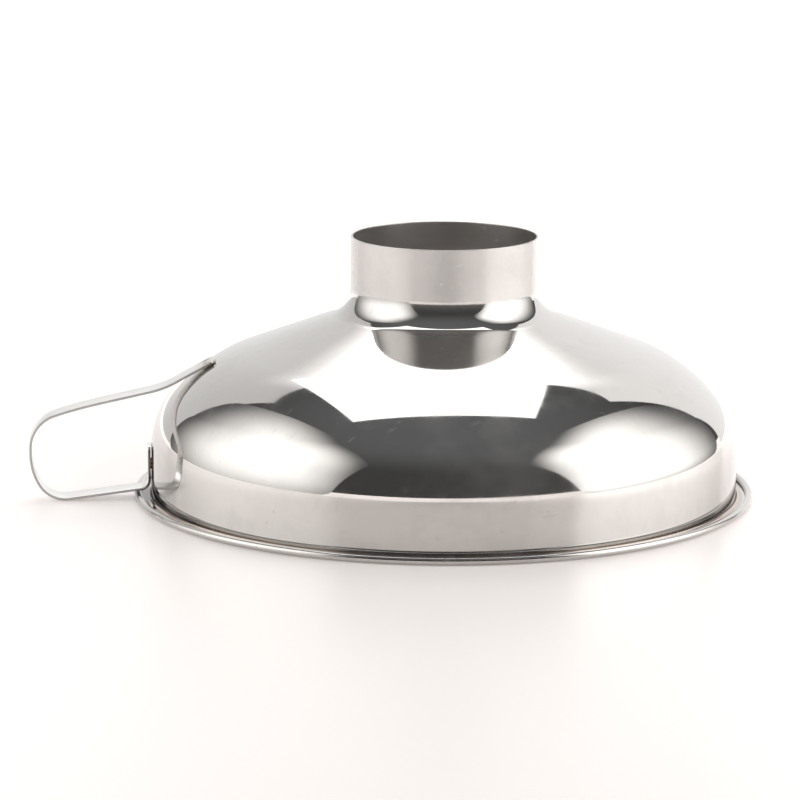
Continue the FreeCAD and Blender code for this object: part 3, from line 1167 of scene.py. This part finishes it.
@dataclass(frozen=True)
class Floor:
    """A round table of pale paper under a gloss, curved up at its far edge.

    Its emission is painted light: it glows more towards both sides, and most towards its edge.
    """

    radius: float = 1.66
    lip: float = 0.11
    sweep: tuple[Pair, ...] = ((0.99, 0.54), (0.98, 0.27), (0.97, 0.13), (0.96, 0.06))
    rough: float = 0.32
    gloss: float = 0.5
    colour: Colour = (0.81, 0.768, 0.75)
    fibres: Grain = Grain(MM / 0.9, 4, 0.6)
    fibre_share: float = 0.05
    fibre: Colour = (0.70, 0.66, 0.63)
    glow: Colour = (1.0, 0.94, 0.925)
    glow_right: tuple[float, ...] = (0.0, 0.20, 0, 0.45)
    glow_left: tuple[float, ...] = (-0.04, -0.20, 0, 0.22)
    glow_out: tuple[float, ...] = (0.36, 0.80, 0.19, 0.80)

    def build(self) -> bpy.types.Object:
        """Make a ring at the edge's height, draw it in and down, and fill the flat.

        Returns:
            The floor.
        """
        bench = Bench("paper_floor", bpy.ops.mesh.primitive_circle_add, vertices=96,
                      radius=self.radius, location=(0, 0, self.lip))
        for shrink, share in self.sweep:
            bench.extrude(Vector((0, 0, -self.lip * share)))
            bpy.ops.transform.resize(value=(shrink, shrink, 1))
        bpy.ops.mesh.edge_face_add()
        bench.done()
        bench.piece.data.materials.append(self.material())
        return bench.smooth(40)

    def material(self) -> bpy.types.Material:
        """Make the paper, with its fibres and its painted glow.

        Returns:
            The material.
        """
        made = bpy.data.materials.new("floor_paper")
        sheet = NodeSheet(made)
        x, y, z = sheet.position()
        fibres = sheet.noise(sheet.vector(x, y, z), self.fibres)
        paper = sheet.blend(fibres * self.fibre_share, self.colour, self.fibre)
        radius = (x * x + y * y) ** 0.5
        light = x.ramp(*self.glow_right) + x.ramp(*self.glow_left) + radius.ramp(*self.glow_out)
        sockets = {"Base Color": paper, "Roughness": self.rough, "Specular IOR Level": self.gloss,
                   "Emission Color": sheet.blend(light, BLACK, self.glow), "Emission Strength": 1.0}
        sheet.surface(sheet.node("ShaderNodeBsdfPrincipled", None, sockets))
        return made


@dataclass(frozen=True)
class Ceiling:
    """The flat panel overhead, a little behind the funnel."""

    height: float = 1.3
    width: float = 0.94
    front: float = 0.13
    back: float = 1.42
    offset: float = 0.005
    radiance: float = 2.2

    def build(self) -> None:
        """Make the panel as a real area light."""
        depth = self.back - self.front
        place = (self.offset, (self.front + self.back) / 2, self.height)
        bpy.ops.object.light_add(type="AREA", location=place)
        lamp = bpy.context.active_object
        lamp.name = "overhead_panel"
        lamp.data.shape = "RECTANGLE"
        lamp.data.size = self.width
        lamp.data.size_y = depth
        lamp.data.energy = self.radiance * self.width * depth * math.pi
        lamp.visible_camera = False


@dataclass(frozen=True)
class DarkRoom:
    """The unlit room round the studio, which the polished steel mirrors."""

    low: Colour = (0.078, 0.078, 0.076)
    high: Colour = (0.170, 0.174, 0.178)
    rise: Span = (0.55, 1.0)
    paper: Colour = (1.0, 1.0, 1.0)

    def build(self) -> None:
        """Make the world: dark to the steel, and plain pale paper to the eye."""
        world = bpy.data.worlds.new("dark_room")
        bpy.context.scene.world = world
        sheet = NodeSheet(world)
        direction = sheet.out(sheet.node("ShaderNodeTexCoord"), "Generated")
        up = sheet.out(sheet.node("ShaderNodeSeparateXYZ", None, {0: direction}), "Z")
        shade = sheet.blend(up.ramp(*self.rise), self.low, self.high)
        room = sheet.node("ShaderNodeBackground", None, {"Color": shade, "Strength": 1.0})
        paper = sheet.node("ShaderNodeBackground", None, {"Color": (*self.paper, 1), "Strength": 1.0})
        eye = sheet.out(sheet.node("ShaderNodeLightPath"), "Is Camera Ray")
        both = sheet.node("ShaderNodeMixShader", None, {0: eye, 1: sheet.out(room), 2: sheet.out(paper)})
        sheet.node("ShaderNodeOutputWorld", None, {"Surface": sheet.out(both)})


@dataclass(frozen=True)
class Viewpoint:
    """The camera: a long lens, a little above the funnel."""

    aim: Vector = field(default_factory=lambda: Vector((-10.92, 0.94, 23.61)) * MM)
    distance: float = 956.2 * MM
    azimuth: float = STUDIO_TURN
    elevation: float = 11.436
    roll: float = 0.215
    lens: float = 171.886
    sensor: float = 36.0
    clip: Span = (0.01, 20.0)

    def build(self) -> None:
        """Place the camera and make it the scene's own."""
        azimuth, elevation = math.radians(self.azimuth), math.radians(self.elevation)
        ahead = Vector((math.sin(azimuth) * math.cos(elevation),
                        math.cos(azimuth) * math.cos(elevation), -math.sin(elevation)))
        bpy.ops.object.camera_add(location=self.aim - ahead * self.distance)
        camera = bpy.context.active_object
        camera.name = "camera"
        level = ahead.to_track_quat("-Z", "Y").to_matrix()
        rolled = level @ Matrix.Rotation(math.radians(self.roll), 3, "Z")
        camera.rotation_euler = rolled.to_euler()
        camera.data.lens = self.lens
        camera.data.sensor_width = self.sensor
        camera.data.clip_start, camera.data.clip_end = self.clip
        bpy.context.scene.camera = camera


LEFT_BOX = Softbox(
    name="left_softbox",
    distance=-0.62,
    outline=((-1.08, 0.0), (-1.28, 0.75), (-1.50, 1.58), (-0.95, 1.84), (-0.30, 1.95),
             (0.40, 1.55), (0.95, 1.08), (0.97, 0.62), (0.90, 0.0)),
    core=2.1,
    dim=0.14,
    near_fade=0.45,
    far_fade=0.41,
    top_fade=0.53,
    foot_fade=0.20,
)
RIGHT_BOX = Softbox(
    name="right_softbox",
    distance=0.62,
    outline=((-0.80, 0.0), (-0.98, 0.70), (-1.26, 1.44), (-0.80, 1.74), (-0.12, 1.92),
             (0.48, 1.48), (0.90, 1.08), (0.94, 0.78), (0.90, 0.42), (0.84, 0.0)),
    core=2.4,
    dim=0.14,
    near_fade=0.34,
    far_fade=0.46,
    top_fade=0.46,
    foot_fade=0.06,
)


def build_studio() -> None:
    """Make the floor, the lights round it and the dark room behind the camera."""
    Floor().build()
    for panel in (LEFT_BOX.build(), RIGHT_BOX.build(), Backdrop().build()):
        panel.visible_camera = False
    Ceiling().build()
    DarkRoom().build()
    view = bpy.context.scene.view_settings
    view.view_transform = "Standard"
    view.look = "None"


def main() -> None:
    """Build the funnel, the studio and the camera."""
    logging.basicConfig(level=logging.INFO, format="%(name)s: %(message)s")
    Viewpoint().build()
    Funnel().build()
    build_studio()


if __name__ == "__main__":
    main()
